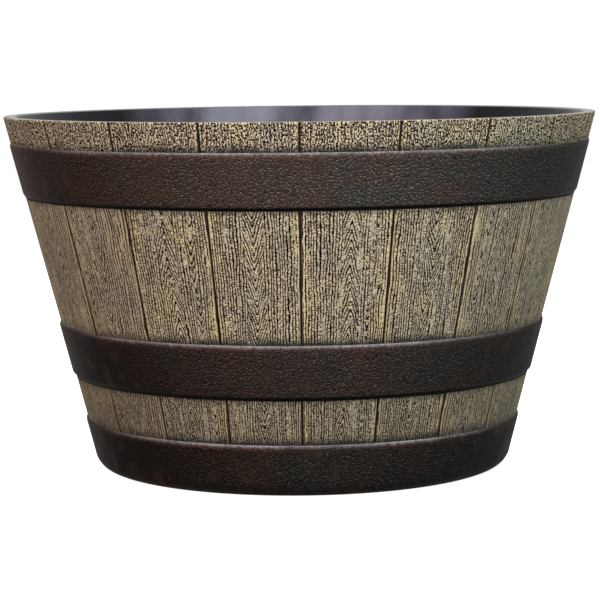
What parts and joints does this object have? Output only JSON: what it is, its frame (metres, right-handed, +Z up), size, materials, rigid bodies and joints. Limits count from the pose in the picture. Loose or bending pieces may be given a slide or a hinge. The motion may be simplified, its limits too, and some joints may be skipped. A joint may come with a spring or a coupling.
{
  "type": "half-barrel planter",
  "caption": "Round half-barrel floor planter: upright wood-look staves round a black inner tub, bound by dark hammered hoops, with plugged drain holes in the floor.",
  "frame": {"origin": "on the ground, under the centre of the planter", "axes": "+Z up along the axis of the barrel; the seam between two staves that faces the viewer is at -Y"},
  "size_m": [0.565, 0.565, 0.338],
  "materials": {
    "stave_resin": "weathered wood-look resin, embossed grain with dark wash",
    "hoop_resin": "dark bronze hammered resin",
    "tub_resin": "smooth black moulded resin, satin",
    "plug_rubber": "matt black"
  },
  "bodies": {
    "planter": {"inner_tub": "tub_resin", "stave_01": "stave_resin", "stave_02": "stave_resin", "stave_03": "stave_resin", "stave_04": "stave_resin", "stave_05": "stave_resin", "stave_06": "stave_resin", "stave_07": "stave_resin", "stave_08": "stave_resin", "stave_09": "stave_resin", "stave_10": "stave_resin", "stave_11": "stave_resin", "stave_12": "stave_resin", "stave_13": "stave_resin", "stave_14": "stave_resin", "stave_15": "stave_resin", "stave_16": "stave_resin", "stave_17": "stave_resin", "stave_18": "stave_resin", "stave_19": "stave_resin", "stave_20": "stave_resin", "top_hoop": "hoop_resin", "middle_hoop": "hoop_resin", "bottom_hoop": "hoop_resin"},
    "drain_plug_1": {"drain_plug_1": "plug_rubber"},
    "drain_plug_2": {"drain_plug_2": "plug_rubber"},
    "drain_plug_3": {"drain_plug_3": "plug_rubber"},
    "drain_plug_4": {"drain_plug_4": "plug_rubber"}
  },
  "joints": [
    {"name": "drain_plug_1_pull", "type": "slide", "parent": "planter", "child": "drain_plug_1", "axis": [0, 0, 1], "range_m": [0, 0.36]},
    {"name": "drain_plug_2_pull", "type": "slide", "parent": "planter", "child": "drain_plug_2", "axis": [0, 0, 1], "range_m": [0, 0.36]},
    {"name": "drain_plug_3_pull", "type": "slide", "parent": "planter", "child": "drain_plug_3", "axis": [0, 0, 1], "range_m": [0, 0.36]},
    {"name": "drain_plug_4_pull", "type": "slide", "parent": "planter", "child": "drain_plug_4", "axis": [0, 0, 1], "range_m": [0, 0.36]}
  ]
}
